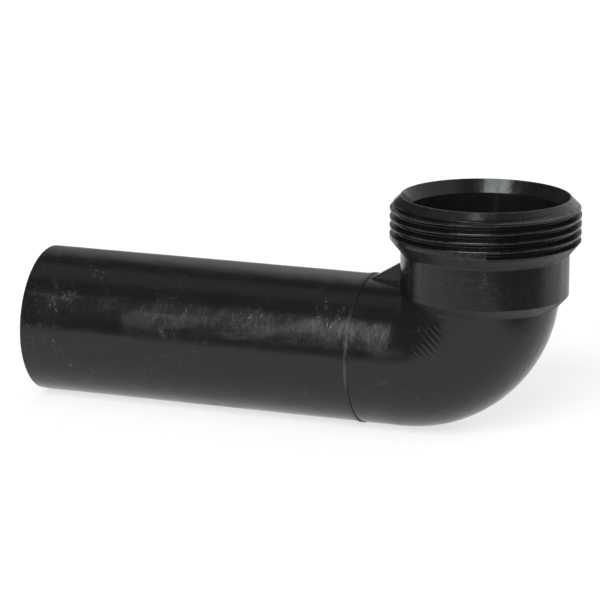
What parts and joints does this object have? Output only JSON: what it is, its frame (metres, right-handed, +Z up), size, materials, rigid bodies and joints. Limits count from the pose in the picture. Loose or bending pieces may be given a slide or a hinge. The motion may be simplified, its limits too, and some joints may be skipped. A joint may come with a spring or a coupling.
{
  "type": "trap outlet elbow",
  "caption": "Long plain spigot, tight right-angle bend and upward inlet collar with a male slip-joint thread, a bevelled washer seat and a web in the corner.",
  "frame": {"origin": "centre of the inlet's rim plane, on the inlet axis", "axes": "+Z points up out of the inlet, -X is the way the spigot points, and Y is square to both"},
  "size_m": [0.1443, 0.048, 0.0613],
  "materials": {
    "black_polypropylene": "moulded satin gloss, black"
  },
  "bodies": {
    "root": {"outlet_tube": "black_polypropylene", "elbow_bend": "black_polypropylene", "threaded_inlet_collar": "black_polypropylene"}
  },
  "joints": []
}
